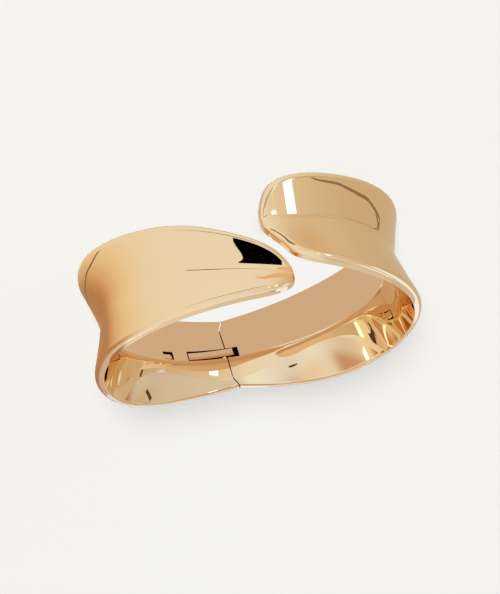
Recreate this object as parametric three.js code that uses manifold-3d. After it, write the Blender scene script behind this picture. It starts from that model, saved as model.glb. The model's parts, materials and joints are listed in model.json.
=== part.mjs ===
// Wide hinged bangle of polished gold plate: two cast halves, a leaf and a paddle, that pass each
// other at the front and turn on a hidden pin at the back.
//
// The bangle frame: Z is the bangle's own axis, the hinge is at +Y, the opening at -Y and the leaf
// on +X. A place on the band is a turn and a height. The turn is the angle of the oval, in degrees
// from the hinge, positive round the leaf and negative round the paddle. The height is along Z.
// The finished group is tipped so that the bangle lies on the three lowest points of its far rim.
import * as THREE from "three";
import { mergeVertices } from "three/addons/utils/BufferGeometryUtils.js";
import Module from "manifold-3d";

const wasm = await Module();
wasm.setup();

// Driving dimensions, in millimetres and degrees.
const OVAL = { halfWidth: 29.5, halfDepth: 22.5 }; // inside of the band, measured at its waist
const WALL = 2.1;
const LIP_RADIUS = 1.2; // the outer edge of each rim is rounded
const EDGE_BREAK = 0.12; // the inner edge of each rim is only eased
const DEGREE_MM = 0.45; // rough arc of one degree of turn, to space the outlines

// How far the walls lean out from the waist, as rise over height, at the hinge and on the lobes.
const LEAN = { hinge: 0.14, reach: 70, leafNear: 0.41, leafFar: 0.22, paddleNear: 0.22, paddleFar: 0.36 };

// The waist: its height, and how softly the two walls meet there.
const WAIST = {
  columns: ["turn", "height", "softness"],
  rows: [
    [-186, -4.3, 0.12],
    [-165, -3.9, 0.14],
    [-145, -2.9, 0.2],
    [-120, -1.9, 0.26],
    [-95, -1.6, 0.32],
    [-70, -1.0, 0.38],
    [-40, -0.45, 0.45],
    [0, -0.3, 0.5],
    [40, -0.2, 0.6],
    [70, -0.6, 0.68],
    [95, -0.6, 0.66],
    [120, 1.0, 0.42],
    [140, 2.6, 0.26],
    [160, 5.3, 0.15],
    [186, 8.9, 0.12],
  ],
};

// The outline of each half: along its near rim from the hinge to the tip, and back by the far rim.
const LEAF_OUTLINE = {
  columns: ["turn", "height"],
  rows: [
    [-4, 7.1],
    [0, 7.45],
    [22, 9.05],
    [45, 10.65],
    [70, 11.05],
    [95, 11.15],
    [120, 12.15],
    [145, 13.0],
    [165, 13.05],
    [175.5, 12.6],
    [181, 11.5],
    [183.6, 10.2],
    [184.5, 8.6],
    [183.4, 6.5],
    [181, 4.4],
    [176.5, 2.0],
    [170, -0.4],
    [160, -3.45],
    [147, -6.75],
    [133, -9.05],
    [115, -11.2],
    [97, -12.55],
    [72, -12.2],
    [45, -10.85],
    [22, -9.15],
    [0, -7.7],
    [-4, -7.4],
  ],
  tip: 12,
};
const PADDLE_OUTLINE = {
  columns: ["turn", "height"],
  rows: [
    [4, 7.1],
    [0, 7.45],
    [-22, 9.5],
    [-45, 10.9],
    [-70, 11.05],
    [-95, 10.95],
    [-120, 10.6],
    [-145, 9.3],
    [-160, 7.7],
    [-170, 6.1],
    [-174, 4.6],
    [-176.7, 2.1],
    [-179.2, 0.0],
    [-181.1, -1.7],
    [-181.9, -3.7],
    [-181, -6.5],
    [-179, -8.8],
    [-175.2, -10.9],
    [-169, -12.1],
    [-160, -12.5],
    [-145, -12.4],
    [-120, -12.25],
    [-95, -12.25],
    [-70, -11.6],
    [-45, -10.6],
    [-22, -9.2],
    [0, -7.7],
    [4, -7.4],
  ],
  tip: 14,
};

// The hinge. Its places along the band are arc lengths from turn 0, positive on the leaf's side.
const OPENING = 35; // how far the paddle half swings
const SEAM = { along: 1.0, gap: 0.25, straight: 5.6, end: 7.5, ease: 0.6 }; // its ends bend to turn 0
const PIN = { along: 0.25, level: 0.95, radius: 0.25, bore: 0.4, halfLength: 4.9, endGap: 0.3 };
const TONGUE = { start: -0.48, end: 9.55, bottom: -0.92, top: 0.66, tilt: 1.9, proud: 0.08 };
const TONGUE_BACK = 1.25; // how deep its plate reaches, measured from the inside of the band
const KNUCKLE = 0.62; // how far its rounded end rises over the pin's axis
const SLOT = { start: -1.68, end: 9.75, bottom: -1.12, top: 1.1, depth: 1.75 };
const WINDOW = { start: 13.2, end: 15.65, bottom: -1.0, top: 0.88, depth: 1.35 };
const ANCHOR = { start: 13.4, end: 15.4, bottom: -0.62, top: 0.7, sunk: 0.32, back: 1.1 };

// How the bangle lies: two turns that bring the plane of its three lowest points level, and the
// place of the bangle frame's origin over the middle of the finished box.
const REST = { tiltX: -1.4, tiltY: -0.2, origin: [-0.324, 0.786, 12.973] };

// How finely the surfaces are divided, and sizes that only have to be large enough.
const RIBS = 60;
const TIP_CROWDING = 0.3; // how much closer the ribs stand near the tip
const WALL_STEPS = 11;
const LIP_STEPS = 4;
const PIN_SIDES = 16;
const ARC_STEPS = 40;
const BLOCK_STEPS = 8;
const TONGUE_STEPS = 24;
const SLOPE_STEP = 0.01; // how far along an outline its direction is measured
const WELD = 1e-4; // points closer than this are one
const FAR_OFF = 40;
const REACH = 8;

const rad = THREE.MathUtils.degToRad;
const mix = THREE.MathUtils.lerp;

// A natural cubic spline through (knots, values), as a function.
function spline(knots, values) {
  const n = knots.length;
  const bend = new Array(n).fill(0);
  const carry = new Array(n).fill(0);
  for (let i = 1; i < n - 1; i++) {
    const before = knots[i] - knots[i - 1];
    const after = knots[i + 1] - knots[i];
    const jump = (values[i + 1] - values[i]) / after - (values[i] - values[i - 1]) / before;
    const pivot = 2 * (before + after) - before * carry[i - 1];
    carry[i] = after / pivot;
    bend[i] = (6 * jump - before * bend[i - 1]) / pivot;
  }
  for (let i = n - 2; i > 0; i--) bend[i] -= carry[i] * bend[i + 1];
  return (at) => {
    let i = 0;
    while (i < n - 2 && at > knots[i + 1]) i++;
    const width = knots[i + 1] - knots[i];
    const right = (at - knots[i]) / width;
    const left = 1 - right;
    const curve = (left ** 3 - left) * bend[i] + (right ** 3 - right) * bend[i + 1];
    return left * values[i] + right * values[i + 1] + (curve * width * width) / 6;
  };
}

const column = (table, name) => table.rows.map((row) => row[table.columns.indexOf(name)]);
const waistHeight = spline(column(WAIST, "turn"), column(WAIST, "height"));
const waistSoftness = spline(column(WAIST, "turn"), column(WAIST, "softness"));

// How steeply the wall leans at a turn, on the near side of the waist or on the far side.
function lean(turn, near) {
  const leaf = near ? LEAN.leafNear : LEAN.leafFar;
  const paddle = near ? LEAN.paddleNear : LEAN.paddleFar;
  const share = THREE.MathUtils.smoothstep(Math.abs(turn), 0, LEAN.reach);
  return mix(LEAN.hinge, turn > 0 ? leaf : paddle, share);
}

// How far the wall has leant out at a height, and its slope there.
function flare(turn, height) {
  const rise = height - waistHeight(turn);
  const slope = lean(turn, rise > 0);
  const softness = waistSoftness(turn);
  const reach = Math.hypot(softness, slope * rise);
  return { out: reach - softness, slope: (slope * slope * rise) / reach };
}

const arcRate = (turn) =>
  Math.hypot(OVAL.halfWidth * Math.cos(rad(turn)), OVAL.halfDepth * Math.sin(rad(turn))) * rad(1);

// A point of the wall, at a depth under the outer surface.
function wallPoint(turn, height, depth) {
  const sin = Math.sin(rad(turn));
  const cos = Math.cos(rad(turn));
  const outward = new THREE.Vector2(OVAL.halfDepth * sin, OVAL.halfWidth * cos).normalize();
  const { out, slope } = flare(turn, height);
  const shorten = 1 / Math.hypot(1, slope);
  const offset = WALL + out - depth * shorten;
  return new THREE.Vector3(
    OVAL.halfWidth * sin + outward.x * offset,
    OVAL.halfDepth * cos + outward.y * offset,
    height + depth * shorten * slope,
  );
}

// The outline as a curve in (turn, height), with its inward direction in millimetres.
function outlineOf(table) {
  const turns = column(table, "turn");
  const heights = column(table, "height");
  const knots = [0];
  for (let i = 1; i < turns.length; i++) {
    const along = (turns[i] - turns[i - 1]) * DEGREE_MM;
    knots.push(knots[i - 1] + Math.hypot(along, heights[i] - heights[i - 1]));
  }
  const turnAt = spline(knots, turns);
  const heightAt = spline(knots, heights);
  const side = Math.sign(turns[table.tip]);
  const at = (s) => {
    const turn = turnAt(s);
    const along = (turnAt(s + SLOPE_STEP) - turnAt(s - SLOPE_STEP)) * arcRate(turn);
    const up = heightAt(s + SLOPE_STEP) - heightAt(s - SLOPE_STEP);
    const length = Math.hypot(along, up) * side;
    return { turn, height: heightAt(s), inAlong: up / length, inUp: -along / length };
  };
  return { at, tip: knots[table.tip], end: knots[knots.length - 1] };
}

// The rim's section as (inset from the outline, depth) pairs, from the outer surface to the inner.
function lipSection() {
  const pairs = [];
  for (let k = 0; k <= LIP_STEPS; k++) {
    const angle = (k / LIP_STEPS) * (Math.PI / 2);
    pairs.push([LIP_RADIUS * (1 - Math.sin(angle)), LIP_RADIUS * (1 - Math.cos(angle))]);
  }
  pairs.push([0, WALL - EDGE_BREAK]);
  pairs.push([EDGE_BREAK, WALL]);
  return pairs;
}

// One half, whole at the hinge end: loops round the wall's section, from the hinge to the tip, where
// the last loop closes on itself.
function bandHalf(table) {
  const outline = outlineOf(table);
  const lip = lipSection();
  const insetPlace = (edge, inset) => ({
    turn: edge.turn + (edge.inAlong * inset) / arcRate(edge.turn),
    height: edge.height + edge.inUp * inset,
  });
  const edgePoint = (edge, [inset, depth]) => {
    const place = insetPlace(edge, inset);
    return wallPoint(place.turn, place.height, depth);
  };
  const loops = [];
  for (let r = 0; r <= RIBS; r++) {
    const share = mix(r / RIBS, Math.sin(((r / RIBS) * Math.PI) / 2), TIP_CROWDING);
    const near = outline.at(outline.tip * share);
    const far = outline.at(mix(outline.end, outline.tip, share));
    const across = (inset, depth) => {
      const from = insetPlace(near, inset);
      const to = insetPlace(far, inset);
      const points = [];
      for (let j = 1; j < WALL_STEPS; j++) {
        const part = j / WALL_STEPS;
        points.push(wallPoint(mix(from.turn, to.turn, part), mix(from.height, to.height, part), depth));
      }
      return points;
    };
    loops.push([
      ...lip.map((pair) => edgePoint(near, pair)).reverse(),
      ...across(LIP_RADIUS, 0),
      ...lip.map((pair) => edgePoint(far, pair)),
      ...across(EDGE_BREAK, WALL).reverse(),
    ]);
  }
  return loft(loops, (p) => new THREE.Vector2(p.z, p.y));
}

// A closed solid through loops of points. Each end gets a flat cap, worked out on the plane that
// flatten gives; the cap of a loop that has closed on itself shrinks to nothing.
function loft(loops, flatten) {
  const count = loops[0].length;
  const corners = [];
  for (let r = 0; r + 1 < loops.length; r++)
    for (let j = 0; j < count; j++) {
      const k = (j + 1) % count;
      corners.push(loops[r][j], loops[r][k], loops[r + 1][j]);
      corners.push(loops[r][k], loops[r + 1][k], loops[r + 1][j]);
    }
  const flat = loops[0].map(flatten);
  const cap = THREE.ShapeUtils.triangulateShape(flat, []);
  if (THREE.ShapeUtils.isClockWise(flat)) cap.forEach((corner) => corner.reverse());
  const last = loops[loops.length - 1];
  const closed = last[0].distanceTo(last[count - 1]) < WELD;
  for (const [a, b, c] of cap) {
    corners.push(loops[0][a], loops[0][c], loops[0][b]);
    if (!closed) corners.push(last[a], last[b], last[c]);
  }
  return solidOf(new THREE.BufferGeometry().setFromPoints(corners));
}

// A geometry as a manifold solid facing out. Triangles that shrink to nothing are dropped.
function solidOf(geometry) {
  const bare = new THREE.BufferGeometry().setAttribute("position", geometry.getAttribute("position"));
  bare.setIndex(geometry.index);
  const merged = mergeVertices(bare, WELD);
  const triangles = [];
  for (let i = 0; i < merged.index.count; i += 3) {
    const [a, b, c] = [0, 1, 2].map((k) => merged.index.getX(i + k));
    if (a !== b && b !== c && c !== a) triangles.push([a, b, c]);
  }
  const make = (corners) =>
    new wasm.Manifold(
      new wasm.Mesh({
        numProp: 3,
        vertProperties: merged.attributes.position.array,
        triVerts: new Uint32Array(corners.flat()),
      }),
    );
  const made = make(triangles);
  return made.volume() > 0 ? made : make(triangles.map(([a, b, c]) => [a, c, b]));
}

// What is cut away past the seam on one half. The faces lean apart from the level of the pin outwards,
// half of the swing each, so that they meet when the bangle is fully open.
function seamCutter(side) {
  const pinY = OVAL.halfDepth + PIN.level;
  const spread = Math.tan(rad(OPENING / 2 + SEAM.ease));
  const loops = [];
  for (const height of [-FAR_OFF, -SEAM.end, -SEAM.straight, SEAM.straight, SEAM.end, FAR_OFF]) {
    const line = Math.abs(height) < SEAM.end ? SEAM.along : 0;
    const face = line + (side * SEAM.gap) / 2;
    loops.push([
      new THREE.Vector3(-side * FAR_OFF, pinY - REACH, height),
      new THREE.Vector3(face, pinY - REACH, height),
      new THREE.Vector3(face, pinY, height),
      new THREE.Vector3(face + side * spread * REACH, pinY + REACH, height),
      new THREE.Vector3(-side * FAR_OFF, pinY + REACH, height),
    ]);
  }
  return loft(loops, (p) => new THREE.Vector2(p.x, p.y));
}

// The turn that lies an arc length away from the hinge, on the inside of the waist.
function turnAtArc(arc) {
  let turn = 0;
  for (let i = 0; i < ARC_STEPS; i++) turn += arc / ARC_STEPS / arcRate(turn);
  return turn;
}

// A block that follows the inside of the band: each station gives its arc length, its two levels
// outwards from the inside of the waist, and its two heights.
function arcBlock(stations) {
  const loops = stations.map(({ along, inner, outer, bottom, top }) => {
    const turn = turnAtArc(along);
    const corner = (level, height) => {
      const sin = Math.sin(rad(turn));
      const cos = Math.cos(rad(turn));
      const outward = new THREE.Vector2(OVAL.halfDepth * sin, OVAL.halfWidth * cos).setLength(level);
      return new THREE.Vector3(OVAL.halfWidth * sin + outward.x, OVAL.halfDepth * cos + outward.y, height);
    };
    return [corner(inner, bottom), corner(outer, bottom), corner(outer, top), corner(inner, top)];
  });
  return loft(loops, (p) => new THREE.Vector2(p.y, p.z));
}

// A plain block of one section from start to end.
function plainBlock({ start, end, bottom, top }, inner, outer) {
  const stations = [];
  for (let i = 0; i <= BLOCK_STEPS; i++)
    stations.push({ along: mix(start, end, i / BLOCK_STEPS), inner, outer, bottom, top });
  return arcBlock(stations);
}

// The tongue: a plate with a rounded end round the pin, set at a slight tilt.
function tongueBlock() {
  const stations = [];
  const nose = PIN.along - TONGUE.start;
  for (let i = 0; i <= TONGUE_STEPS; i++) {
    const along = mix(TONGUE.start, TONGUE.end, (i / TONGUE_STEPS) ** 2);
    const fromPin = (along - PIN.along) / nose;
    const round = KNUCKLE * Math.sqrt(Math.max(0, 1 - fromPin * fromPin));
    const outer = Math.max(PIN.level + round, fromPin > 0 ? TONGUE_BACK : PIN.level);
    const drop = Math.tan(rad(TONGUE.tilt)) * (along - PIN.along);
    stations.push({
      along,
      inner: -TONGUE.proud,
      outer,
      bottom: TONGUE.bottom + drop,
      top: TONGUE.top + drop,
    });
  }
  return arcBlock(stations);
}

function pinSolid(radius, halfLength) {
  const pin = new THREE.CylinderGeometry(radius, radius, 2 * halfLength, PIN_SIDES);
  pin.rotateX(Math.PI / 2).translate(PIN.along, OVAL.halfDepth + PIN.level, 0);
  return solidOf(pin);
}

const slotCut = plainBlock(SLOT, -WALL, SLOT.depth);
const windowCut = plainBlock(WINDOW, -WALL, WINDOW.depth);
const boreCut = pinSolid(PIN.bore, PIN.halfLength + PIN.endGap);
const solids = {
  leaf_half: bandHalf(LEAF_OUTLINE).subtract(seamCutter(1)).subtract(slotCut).subtract(windowCut),
  paddle_half: bandHalf(PADDLE_OUTLINE).subtract(seamCutter(-1)).subtract(slotCut).subtract(boreCut),
  hinge_tongue: tongueBlock().subtract(boreCut),
  hinge_pin: pinSolid(PIN.radius, PIN.halfLength),
  spring_anchor: plainBlock(ANCHOR, ANCHOR.sunk, ANCHOR.back),
};

const goldPlate = new THREE.MeshStandardMaterial({ color: 0xe8c890, roughness: 0.08, metalness: 1 });
const steel = new THREE.MeshStandardMaterial({ color: 0xb9b6ae, roughness: 0.3, metalness: 1 });
const materials = {
  leaf_half: goldPlate,
  paddle_half: goldPlate,
  hinge_tongue: goldPlate,
  hinge_pin: steel,
  spring_anchor: goldPlate,
};

const bangle = new THREE.Group();
bangle.rotation.set(rad(REST.tiltX), rad(REST.tiltY), 0);
bangle.position.fromArray(REST.origin);
for (const [name, solid] of Object.entries(solids)) {
  const made = solid.getMesh();
  const geometry = new THREE.BufferGeometry();
  geometry.setAttribute("position", new THREE.BufferAttribute(made.vertProperties, made.numProp));
  geometry.setIndex(new THREE.BufferAttribute(made.triVerts, 1));
  geometry.computeVertexNormals();
  const mesh = new THREE.Mesh(geometry, materials[name]);
  mesh.name = name;
  bangle.add(mesh);
}

export default bangle;
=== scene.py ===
"""Looks of a wide hinged bangle of polished gold plate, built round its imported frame.

The bangle frame, used for every shape below, is in millimetres: Z is the bangle's own axis, the hinge
is at +Y, the opening at -Y and the leaf on +X. A place on the band is a turn, in degrees from the hinge
and positive round the leaf, and a height along Z.
"""

import json
import math

import bmesh
import bpy
import numpy as np
from bpy.props import FloatProperty, FloatVectorProperty, PointerProperty
from mathutils import Matrix, Vector
from mathutils.bvhtree import BVHTree


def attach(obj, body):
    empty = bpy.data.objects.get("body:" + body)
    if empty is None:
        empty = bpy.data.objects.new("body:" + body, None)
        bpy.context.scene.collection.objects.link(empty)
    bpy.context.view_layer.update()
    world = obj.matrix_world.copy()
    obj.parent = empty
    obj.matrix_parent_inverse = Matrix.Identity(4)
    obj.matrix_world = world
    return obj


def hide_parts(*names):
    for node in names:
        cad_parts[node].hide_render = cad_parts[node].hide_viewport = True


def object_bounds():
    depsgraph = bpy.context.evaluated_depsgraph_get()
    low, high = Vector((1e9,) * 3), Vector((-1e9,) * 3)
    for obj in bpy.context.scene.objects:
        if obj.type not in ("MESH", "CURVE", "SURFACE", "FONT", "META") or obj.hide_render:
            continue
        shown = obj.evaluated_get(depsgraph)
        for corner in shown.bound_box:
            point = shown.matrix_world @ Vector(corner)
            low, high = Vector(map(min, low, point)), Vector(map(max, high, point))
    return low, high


bl_info = {
    "name": "Wide Bangle",
    "version": (1, 0, 0),
    "blender": (4, 5, 0),
    "location": "View3D > Sidebar > Bangle",
    "description": "Builds a wide hinged bangle of polished gold plate, and the studio it lies in",
    "category": "Add Mesh",
}

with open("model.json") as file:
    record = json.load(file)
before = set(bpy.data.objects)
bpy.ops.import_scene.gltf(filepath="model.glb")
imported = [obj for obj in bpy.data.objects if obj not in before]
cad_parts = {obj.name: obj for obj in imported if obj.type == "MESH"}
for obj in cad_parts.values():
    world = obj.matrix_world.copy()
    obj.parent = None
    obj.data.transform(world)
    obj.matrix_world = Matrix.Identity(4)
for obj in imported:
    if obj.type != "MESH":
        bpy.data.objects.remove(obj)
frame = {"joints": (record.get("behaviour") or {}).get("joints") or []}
CAD_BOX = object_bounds()
HINGE = frame["joints"][0]
MM = 0.001

# How far the walls lean out from the waist, as rise over height, at the hinge and on the lobes.
LEAN_AT_HINGE = 0.14
LEAN_REACH = 70.0
LEAN = {"leaf near": 0.41, "leaf far": 0.22, "paddle near": 0.22, "paddle far": 0.36}

# The waist: its height, and how softly the two walls meet there.
WAIST_COLUMNS = ("turn", "height", "softness")
WAIST = (
    (-186, -4.3, 0.12), (-165, -3.9, 0.14), (-145, -2.9, 0.20), (-120, -1.9, 0.26), (-95, -1.6, 0.32),
    (-70, -1.0, 0.38), (-40, -0.45, 0.45), (0, -0.3, 0.50), (40, -0.2, 0.60), (70, -0.6, 0.68),
    (95, -0.6, 0.66), (120, 1.0, 0.42), (140, 2.6, 0.26), (160, 5.3, 0.15), (186, 8.9, 0.12),
)

# The outline of each half: along its near rim from the hinge to the tip, and back by the far rim.
OUTLINE_COLUMNS = ("turn", "height")
LEAF_OUTLINE = (
    (-4, 7.1), (0, 7.45), (22, 9.05), (45, 10.65), (70, 11.05), (95, 11.15), (120, 12.15), (145, 13.0),
    (165, 13.05), (175.5, 12.6), (181, 11.5), (183.6, 10.2), (184.5, 8.6), (183.4, 6.5), (181, 4.4),
    (176.5, 2.0), (170, -0.4), (160, -3.45), (147, -6.75), (133, -9.05), (115, -11.2), (97, -12.55),
    (72, -12.2), (45, -10.85), (22, -9.15), (0, -7.7), (-4, -7.4),
)
LEAF_TIP = 12
PADDLE_OUTLINE = (
    (4, 7.1), (0, 7.45), (-22, 9.5), (-45, 10.9), (-70, 11.05), (-95, 10.95), (-120, 10.6), (-145, 9.3),
    (-160, 7.7), (-170, 6.1), (-174, 4.6), (-176.7, 2.1), (-179.2, 0.0), (-181.1, -1.7), (-181.9, -3.7),
    (-181, -6.5), (-179, -8.8), (-175.2, -10.9), (-169, -12.1), (-160, -12.5), (-145, -12.4),
    (-120, -12.25), (-95, -12.25), (-70, -11.6), (-45, -10.6), (-22, -9.2), (0, -7.7), (4, -7.4),
)
PADDLE_TIP = 14
DEGREE_MM = 0.45  # rough arc of one degree of turn, to space the outlines

# The hinge. Places along the band are arc lengths from turn 0, positive on the leaf's side; levels are
# measured outwards from the inside of the waist.
SEAM = {"along": 1.0, "gap": 0.25, "straight": 5.6, "end": 7.5, "ease": 0.6}
PIN = {"along": 0.25, "level": 0.95, "radius": 0.25, "bore": 0.4, "half_length": 4.9, "end_gap": 0.3}
TONGUE = {"start": -0.48, "end": 9.55, "bottom": -0.92, "top": 0.66, "tilt": 1.9, "proud": 0.08}
TONGUE_BACK = 1.25
KNUCKLE = 0.62
SLOT = {"start": -1.68, "end": 9.75, "bottom": -1.12, "top": 1.1, "inner": -2.1, "outer": 1.75}
WINDOW = {"start": 13.2, "end": 15.65, "bottom": -1.0, "top": 0.88, "inner": -2.1, "outer": 1.35}
ANCHOR = {"start": 13.4, "end": 15.4, "bottom": -0.62, "top": 0.7, "inner": 0.32, "outer": 1.1}
CUT_REACH = 8.0
FAR_OFF = 40.0

# The lie: the bangle's plane of lowest points is brought level by two turns.
TILT_X = -1.4
TILT_Y = -0.2

# Towards the near rim the buffing turns the inner face a little further out than the wall itself. Rises
# over the waist in millimetres, turns in degrees either way from the hinge.
INNER_TURN = {"slope": 0.21, "from": 0.5, "to": 2.6, "full": 30.0, "none": 85.0}

# How finely the surfaces are divided.
RIBS = 380
TIP_CROWDING = 0.45
WALL_STEPS = 28
WAIST_CROWDING = 1.6
WAIST_SHARES = (0.15, 0.85)  # the waist's row stays within these shares of the way between the rims
HALVINGS = 24
LIP_STEPS = 8
EDGE_STEPS = 3
ARC_STEPS = 48
PIN_SIDES = 48
EPSILON = 0.01
MERGE_DISTANCE = 1e-5
SLIVER_LENGTH = 1e-6
SLIVER_AREA = 1e-9
SKIN_DISTANCE = 2e-3  # a point this close to the uncut surface, in millimetres, belongs to it
SKIN_TURN = 0.9  # how well, as a cosine, its face has to agree with that surface

# The small parts' edges: how far each is rounded, in millimetres, and from what angle on, in degrees.
EASING = {"tongue": 0.05, "anchor": 0.06, "pin": 0.04}
EASED_FROM = 40.0
SHARP_FROM = 35.0

# The grain of each finish, in millimetres from one patch or line to the next. The mottle of the dark cut
# faces, which paint shade, is among them.
GRAIN = {"tint": 18.0, "dwell": 7.0, "haze": 3.0, "shade_mottle": 0.3, "drawn line": 0.05, "paper tooth": 0.4}
HAZE_SPREAD = (0.6, 1.4)
DRAWN_STRETCH = 0.02
STEEL_ROUGHNESS = (0.22, 0.38)
TOOTH_HEIGHT = 0.01

# Painted reflections, by azimuth in degrees: what the metal mirrors of the room low down and high up, and
# of the screen that stands on the rims, at its foot and at its top, which only the inside of the band
# faces. The whites stand for the open room; the tan, peach and brown stops paint the floor's shade and the
# gold's warm bounced light.
AROUND_LOW = (
    (-180, 0xE4EDFF), (-150, 0xD7CEC4), (-120, 0xD2C3AE), (-75, 0xD1BDA2), (-45, 0xDACAB3),
    (-30, 0xE3D6C0), (-19, 0xEBE2D0), (-10, 0xF1EDE3), (45, 0xF2EEE4), (70, 0xF1E8D6), (82, 0xF0DEBC),
    (92, 0xE7CDA6), (101, 0xD7AF86), (110, 0xBC8E65), (135, 0xBC9069), (165, 0xB58969), (180, 0xC8B09C),
)
AROUND_HIGH = (
    (-180, 0xE0D8D0), (-100, 0xDCCFC0), (-45, 0xE0D6C6), (0, 0xF2EEE8), (90, 0xF4F0EA), (180, 0xE8DED4),
)
SCREEN_LOW = (
    (-180, 0xE6F9FF), (-165, 0xD1B8B1), (-140, 0xAD7E65), (-125, 0xC5957C), (-112, 0xD4CABF),
    (-82, 0xD8CEC5), (-40, 0xDDD8D4), (-31, 0xDFDDDA), (-26, 0xF3FDFF), (-15, 0xF1F7FD), (0, 0xEAEBEC),
    (22, 0xF0F6F9), (38, 0xECE7E2), (52, 0xE3DACB), (66, 0xE8D8C8), (82, 0xF2E5C5), (92, 0xAD7C61),
    (110, 0xAF8169), (135, 0xD1B5AD), (165, 0xD1B8B1), (180, 0xE6F9FF),
)
SCREEN_HIGH = (
    (-180, 0xD1B8B1), (-140, 0xC7AA95), (-112, 0xCEAC8B), (-97, 0xD4C0A2), (-75, 0xD8D0C4),
    (-38, 0xDDD8D6), (-20, 0xF3F9FF), (-5, 0xD7D3CE), (8, 0xEBE2CE), (15, 0xF0E2CC), (28, 0xECEAE4),
    (36, 0xE6DCCC), (44, 0xCDA98C), (68, 0xD0AA8B), (84, 0xC49A7C), (90, 0xAD7961), (93, 0xEDE6D4),
    (112, 0xEDE6D4), (118, 0xBC9880), (135, 0xCBADA2), (180, 0xD1B8B1),
)
# The rest of what the metal mirrors. Places, thicknesses and distances are in millimetres, azimuths and
# elevations in degrees, and colours are linear.
#
# Cords, glowing and seen only in the metal, paint lines into its reflections: thin brown lines and broad
# dark bands of painted shade along the rims and creases, and an orange sliver at the leaf's tip. Each row
# is name, thickness, colour and its places, which are x, y, z and a share of the thickness.
CORDS = (
    ("leaf_cord", 0.35, (0.30, 0.17, 0.09), (
        (33.0, -9.9, 2.4, 0.5), (33.8, -7.3, 2.5, 0.8), (34.3, -3.5, 2.8, 1), (34.3, -0.3, 2.8, 1),
        (34.0, 1.6, 3.1, 1), (33.3, 4.2, 3.6, 1), (32.1, 7.1, 4.5, 0.8), (31.4, 7.9, 6.2, 0.6),
    )),
    ("hanging_cord", 4.5, (0.10, 0.07, 0.05), (
        (-10, -48, 78, 0.5), (-19.5, -50, 83.6, 1), (-12, -50, 86, 0.9), (-15, -51.4, 87, 1),
        (-24, -42, 92, 1), (-30, -30, 95, 1), (-33, -22, 96, 0.7),
    )),
    ("leaf_tip_cord", 0.8, (0.83, 0.55, 0.30), (
        (5.4, -24.7, 20.6, 0.1), (3.8, -25.0, 21.2, 0.6), (2.0, -24.9, 21.2, 0.9),
        (0.6, -24.8, 21.2, 1), (-0.6, -24.8, 21.3, 1), (-2.2, -24.6, 21.6, 1),
    )),
    ("crease_cord", 7.0, (0.24, 0.16, 0.09), (
        (52, -62, 0.4, 0.4), (38, -58, 0.4, 0.5), (24, -57, 0.4, 0.9), (8, -55, 0.4, 1),
        (-6, -50, 0.4, 0.6),
    )),
    ("paddle_cord", 0.8, (0.30, 0.19, 0.11), (
        (-30, -84, 8, 0.5), (-42, -75, 8.5, 0.5), (-54, -67, 8.9, 0.5), (-62, -60, 7.8, 0.6),
        (-71, -51, 6.1, 0.7), (-77, -41, 4.5, 0.9), (-81, -31.5, 2.8, 1), (-84, -21.4, 0.8, 1),
        (-78.5, -14.3, 0.5, 1), (-73, -8.9, 0.5, 1), (-71.4, -4.5, 0.5, 1), (-74, -3, 0.5, 1),
        (-79, -4, 0.5, 1), (-76, -10, 0.5, 1),
    )),
    ("paddle_crease_cord", 1.4, (0.30, 0.19, 0.11), (
        (-41, -30, 0.4, 0.8), (-36, -37, 0.4, 1.6), (-26, -45, 0.4, 1.4), (-12, -50, 0.4, 1),
    )),
)
# Short dark cords: painted dark marks in the reflections inside the band.
SHORT_CORDS = (
    ((-30.6, 4.5, 32.6, 1), (-30.2, 3.0, 34.0, 1), (-29.6, 1.0, 36.0, 1)),
    ((-32.8, 15.6, 29.4, 1), (-32.8, 14.4, 30.6, 1), (-32.7, 13.0, 32.4, 1)),
    ((-22.7, 10.3, 22.9, 1), (-22.5, 10.8, 24.0, 1), (-22.3, 11.3, 25.2, 1)),
    ((-0.6, -24.6, 30.7, 0.5), (0.8, -24.4, 30.9, 0.6), (2.2, -24.0, 31.1, 0.3)),
)
SHORT_CORD = {"thickness": 1.2, "colour": (0.10, 0.06, 0.04)}
CORD_SMOOTHNESS = 16

# Glowing cards, seen only in the metal, give the painted highlights and sheens, and a painted cool glow
# from behind. Each fills a range of azimuths and of elevations from a place on the metal, and fades out
# over a share of its half size at its sides.
PADDLE_FRONT = (-5, -24, 7)
LEAF_RIM = (31, -4, 21)
CARDS = (
    # name, seen from, azimuths, elevations, distance, colour, soft shares
    ("spark", (0, 0, 27.8), (73, 78.5), (0, 24), 33, (1.7, 1.8, 2.0), (0.2, 0.05)),
    ("spark_above", LEAF_RIM, (-110, -99), (44, 52), 300, (2.2, 2.3, 2.5), (0.2, 0.1)),
    ("sheen_above", LEAF_RIM, (-99, -64), (40, 56), 310, (1.0, 1.03, 0.95), (0.1, 0.2)),
    ("strip", PADDLE_FRONT, (-34.0, -28.2), (-8, 13), 300, (2.0, 2.2, 2.8), (0.3, 0.1)),
    ("small_strip", PADDLE_FRONT, (-22.7, -18.6), (2.5, 10.1), 300, (1.8, 1.9, 2.2), (0.7, 0.5)),
    ("cool_back", (0, 20, 20), (182, 300), (16, 46), 1000, (1.0, 1.08, 1.3), (0.2, 0.3)),
)
# The black flag, by its corners' azimuths and elevations, is seen only in the metal and paints the black
# patch of reflection near the leaf's tip.
FLAG = ((-14.0, -3.1), (13.0, -3.1), (13.4, -2.67), (12.7, -2.36), (11.8, -2.1), (10.6, -1.83),
        (9.6, -1.6), (9.2, -1.1), (-14.0, -1.1))
FLAG_SEEN_FROM = (3.5, -24, 16)
FLAG_DISTANCE = 130
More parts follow.
